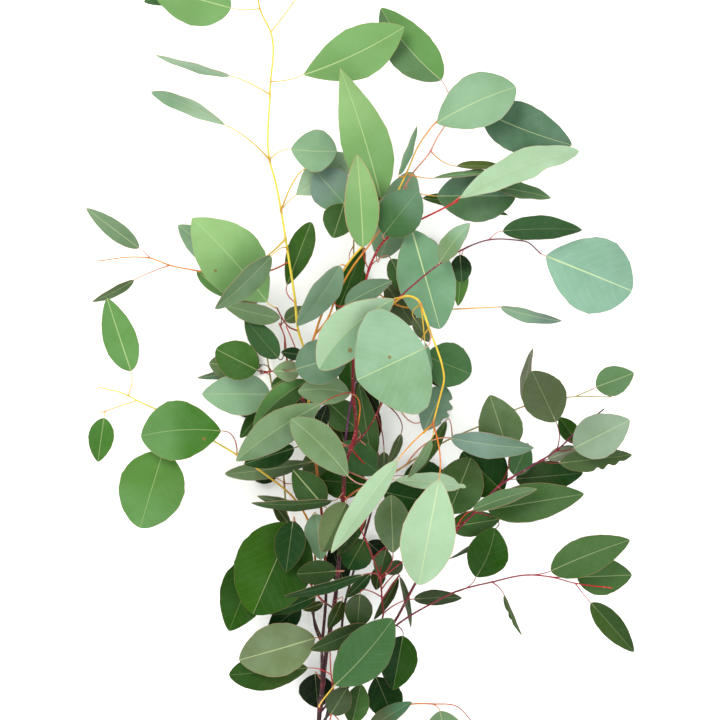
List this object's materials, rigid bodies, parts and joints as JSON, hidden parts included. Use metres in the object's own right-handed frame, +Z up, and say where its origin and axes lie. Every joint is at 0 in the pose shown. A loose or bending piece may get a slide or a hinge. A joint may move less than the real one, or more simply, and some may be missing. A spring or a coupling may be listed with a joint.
{
  "type": "eucalyptus branch",
  "caption": "Cut eucalyptus branch with round silver-green leaves on red and yellow twigs, laid flat on its lowest leaves for use as decorative foliage.",
  "frame": {"origin": "on the flat underside of the leaf that lies on the surface below the middle of the branch", "axes": "+Y along the branch from its cut foot to its tip, +Z up from the surface, +X across it to the picture's right"},
  "size_m": [0.4667, 0.7138, 0.148],
  "materials": {
    "red_bark": "smooth thin purple-red bark, satin",
    "yellow_bark": "smooth young yellow bark turning orange at the nodes, satin",
    "sage_leaf": "leathery leaf under a matt grey waxy bloom",
    "fresh_leaf": "young green leaf with a soft waxy sheen",
    "deep_leaf": "old dark green leaf with a soft waxy sheen"
  },
  "bodies": {
    "root": {"main_stem": "red_bark", "tall_yellow_shoot": "yellow_bark", "upper_shoot": "yellow_bark", "purple_twig": "sage_leaf", "arching_shoot": "sage_leaf", "olive_shoot": "sage_leaf", "right_purple_shoot": "deep_leaf", "lower_right_shoot": "deep_leaf", "red_lower_shoot": "deep_leaf", "lower_left_shoot": "fresh_leaf", "left_golden_shoot": "yellow_bark", "left_top_shoot": "sage_leaf", "left_red_shoot": "sage_leaf", "base_shoot": "fresh_leaf", "foot_twig": "fresh_leaf", "centre_twig": "deep_leaf", "back_left_shoot": "deep_leaf", "back_right_shoot": "deep_leaf", "back_top_shoot": "deep_leaf"}
  },
  "joints": []
}
